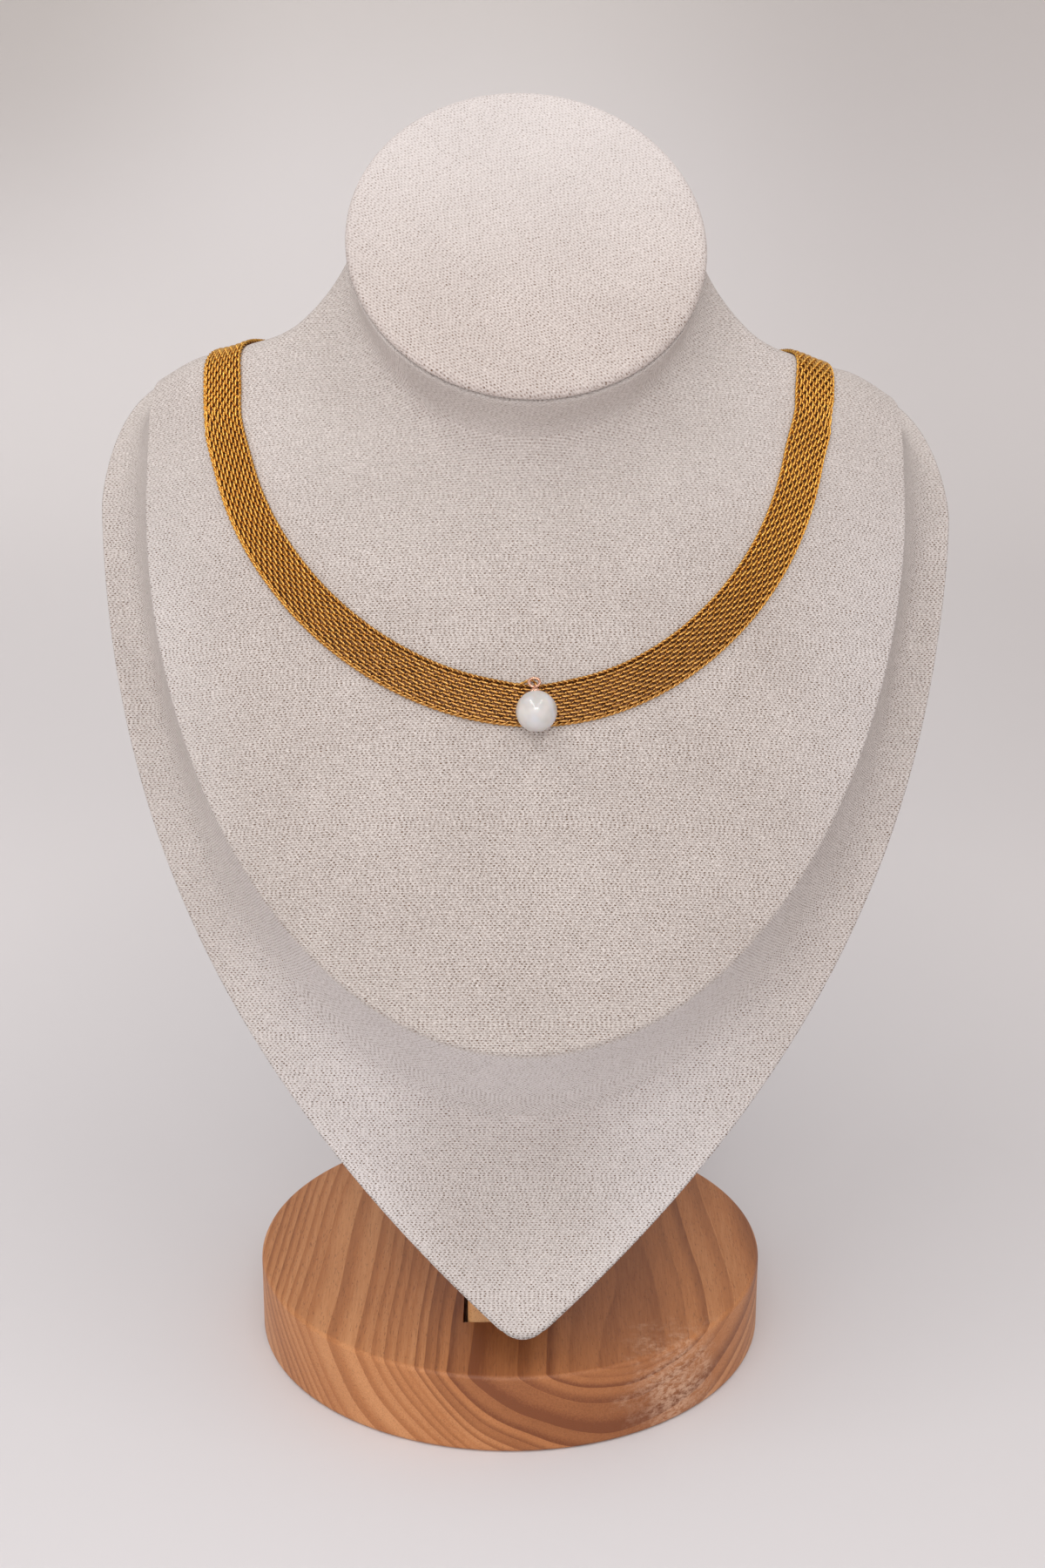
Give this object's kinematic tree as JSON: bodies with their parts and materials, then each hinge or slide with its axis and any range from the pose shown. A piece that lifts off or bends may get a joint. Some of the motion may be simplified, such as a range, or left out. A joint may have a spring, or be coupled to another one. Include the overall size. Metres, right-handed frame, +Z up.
{
  "type": "pearl pendant necklace on a neck bust with a wooden foot",
  "caption": "Woven metal mesh band necklace with a pearl drop on a small ring, laid round a leaning linen neck bust on a slat and a round wooden foot.",
  "frame": {"origin": "centre of the round foot's underside", "axes": "+Z up; the bust faces -Y and leans back towards +Y; +X is the wearer's left"},
  "size_m": [0.197, 0.1233, 0.2851],
  "materials": {
    "foot_wood": "waxed, growth rings showing",
    "post_wood": "bare, planed",
    "linen": "matt knitted linen glued over the form",
    "cap_linen": "matt knitted linen glued over the disc",
    "gold_mesh": "gold-tone woven wire, bright",
    "gold_sheet": "gold-tone, bright",
    "rose_gold": "pale rose gold, polished",
    "pearl": "white nacre, satin lustre"
  },
  "bodies": {
    "root": {"wood_base": "foot_wood", "post": "post_wood", "bust": "linen", "neck_cap": "cap_linen", "mesh_band": "gold_mesh", "clasp": "gold_sheet", "pendant_ring": "rose_gold", "pearl": "pearl"}
  },
  "joints": []
}
